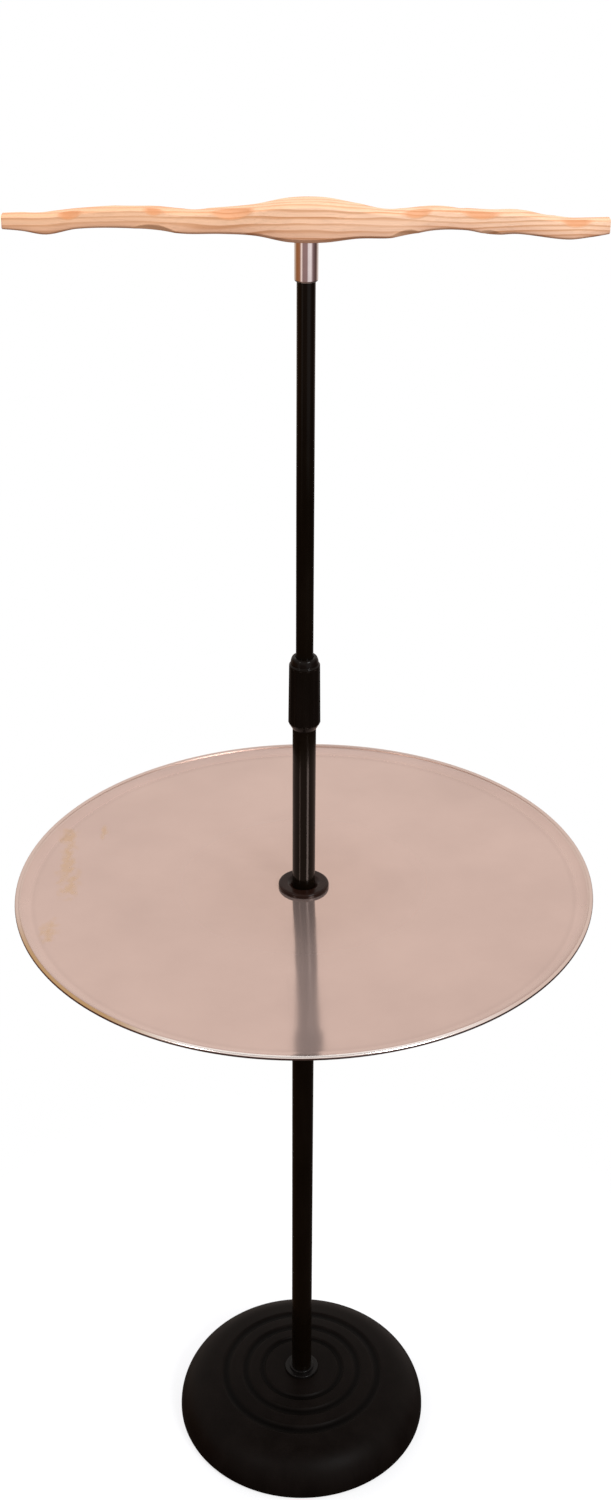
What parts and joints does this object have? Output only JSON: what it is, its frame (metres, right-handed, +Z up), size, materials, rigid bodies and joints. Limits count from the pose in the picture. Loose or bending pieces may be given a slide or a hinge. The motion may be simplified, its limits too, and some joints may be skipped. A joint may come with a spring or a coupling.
{
  "type": "bird training stand",
  "caption": "Free-standing T-perch for training a pet bird: weighted round base, telescoping column with twist-lock clutch, round catch tray and wavy wooden perch.",
  "frame": {"origin": "on the floor under the base, on the column's axis", "axes": "+Z up along the column, X along the perch, -Y towards the picture's viewpoint"},
  "size_m": [0.559, 0.559, 1.3654],
  "materials": {
    "base_black": "matt, fine grain",
    "ballast_concrete": "cast, rough",
    "plate_painted": "matt black paint",
    "rubber_black": "matt",
    "zinc_steel": "zinc plated",
    "washer_black": "semi-gloss black paint",
    "tube_black": "semi-gloss black paint",
    "nylon_natural": "moulded nylon",
    "grip_black": "satin moulded plastic",
    "stainless_steel": "turned stainless, polished",
    "pine": "bare sanded pine",
    "tray_aluminium": "spun, bright, lightly worn",
    "flange_black": "semi-gloss moulded plastic",
    "collar_black": "black oxide"
  },
  "bodies": {
    "stand": {"base_shell": "base_black", "base_ballast": "ballast_concrete", "base_plate": "plate_painted", "foot_pads": "rubber_black", "base_nut": "zinc_steel", "foot_washer": "washer_black", "column_stud": "zinc_steel", "lower_tube": "tube_black", "clutch_ferrule": "zinc_steel"},
    "clutch_grip": {"clutch_grip": "grip_black"},
    "clutch_collet": {"clutch_collet": "nylon_natural"},
    "mast": {"upper_tube": "tube_black", "mast_guide": "nylon_natural", "mast_stud": "zinc_steel", "perch_sleeve": "stainless_steel", "perch_screw": "zinc_steel", "perch": "pine"},
    "tray_carrier": {"tray_collar": "collar_black"},
    "thumb_screw": {"collar_screw": "zinc_steel", "collar_knob": "grip_black"},
    "tray": {"tray": "tray_aluminium", "tray_flange": "flange_black", "tray_gasket": "rubber_black", "tray_nut": "flange_black"}
  },
  "joints": [
    {"name": "clutch_twist", "type": "hinge", "parent": "stand", "child": "clutch_grip", "pos_m": [0, 0, 0.9185], "axis": [0, 0, 1], "range_deg": [0, 270]},
    {"name": "mast_swivel", "type": "hinge", "parent": "stand", "child": "clutch_collet", "pos_m": [0, 0, 0.935], "axis": [0, 0, 1], "continuous": true},
    {"name": "mast_slide", "type": "slide", "parent": "clutch_collet", "child": "mast", "axis": [0, 0, 1], "range_m": [-0.342, 0.388]},
    {"name": "tray_slide", "type": "slide", "parent": "stand", "child": "tray_carrier", "axis": [0, 0, 1], "range_m": [-0.55, 0.17]},
    {"name": "tray_turn", "type": "hinge", "parent": "tray_carrier", "child": "tray", "pos_m": [0, 0, 0.707], "axis": [0, 0, 1], "continuous": true},
    {"name": "thumb_screw_turn", "type": "hinge", "parent": "tray_carrier", "child": "thumb_screw", "pos_m": [0.03, 0, 0.6831], "axis": [1, 0, 0], "range_deg": [0, 360]}
  ]
}
